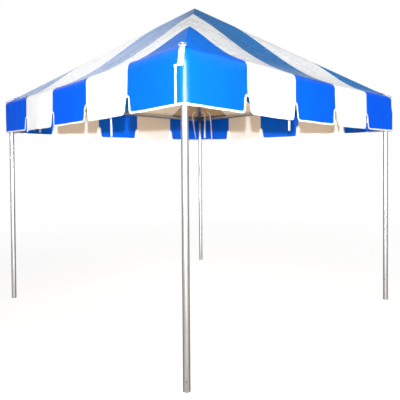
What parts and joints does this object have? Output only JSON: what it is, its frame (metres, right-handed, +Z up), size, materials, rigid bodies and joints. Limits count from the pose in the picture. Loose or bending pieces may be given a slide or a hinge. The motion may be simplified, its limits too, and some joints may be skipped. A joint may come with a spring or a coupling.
{
  "type": "frame tent",
  "caption": "Square frame tent: round tube legs, eave rails and rafters carry a striped hip roof canopy whose valance hangs in tabs round the open sides.",
  "frame": {"origin": "centre of the footprint on the ground", "axes": "+Z up; the front side faces -Y and the right side faces +X, so the four sides are square to X and Y"},
  "size_m": [3.052, 3.052, 3.2173],
  "materials": {
    "aluminium_tube": "smooth mill finish, bright",
    "aluminium_fitting": "cast, satin",
    "blue_vinyl": "glossy coated vinyl cloth",
    "white_vinyl": "glossy coated vinyl cloth"
  },
  "bodies": {
    "root": {"leg_front_right": "aluminium_tube", "leg_back_right": "aluminium_tube", "leg_back_left": "aluminium_tube", "leg_front_left": "aluminium_tube", "rail_front": "aluminium_tube", "rail_right": "aluminium_tube", "rail_back": "aluminium_tube", "rail_left": "aluminium_tube", "rafter_front_right": "aluminium_tube", "rafter_back_right": "aluminium_tube", "rafter_back_left": "aluminium_tube", "rafter_front_left": "aluminium_tube", "corner_fitting_front_right": "aluminium_fitting", "corner_fitting_back_right": "aluminium_fitting", "corner_fitting_back_left": "aluminium_fitting", "corner_fitting_front_left": "aluminium_fitting", "crown_fitting": "aluminium_fitting", "roof_middle_front": "blue_vinyl", "roof_middle_right": "blue_vinyl", "roof_middle_back": "blue_vinyl", "roof_middle_left": "blue_vinyl", "roof_stripe_front_right": "white_vinyl", "roof_stripe_back_right": "white_vinyl", "roof_stripe_back_left": "white_vinyl", "roof_stripe_front_left": "white_vinyl", "roof_corner_front_right": "blue_vinyl", "roof_corner_back_right": "blue_vinyl", "roof_corner_back_left": "blue_vinyl", "roof_corner_front_left": "blue_vinyl", "valance_middle_front": "blue_vinyl", "valance_middle_right": "blue_vinyl", "valance_middle_back": "blue_vinyl", "valance_middle_left": "blue_vinyl", "valance_stripe_front_left": "white_vinyl", "valance_stripe_front_right": "white_vinyl", "valance_stripe_right_left": "white_vinyl", "valance_stripe_right_right": "white_vinyl", "valance_stripe_back_left": "white_vinyl", "valance_stripe_back_right": "white_vinyl", "valance_stripe_left_left": "white_vinyl", "valance_stripe_left_right": "white_vinyl", "valance_corner_front_right": "blue_vinyl", "valance_corner_back_right": "blue_vinyl", "valance_corner_back_left": "blue_vinyl", "valance_corner_front_left": "blue_vinyl"}
  },
  "joints": []
}
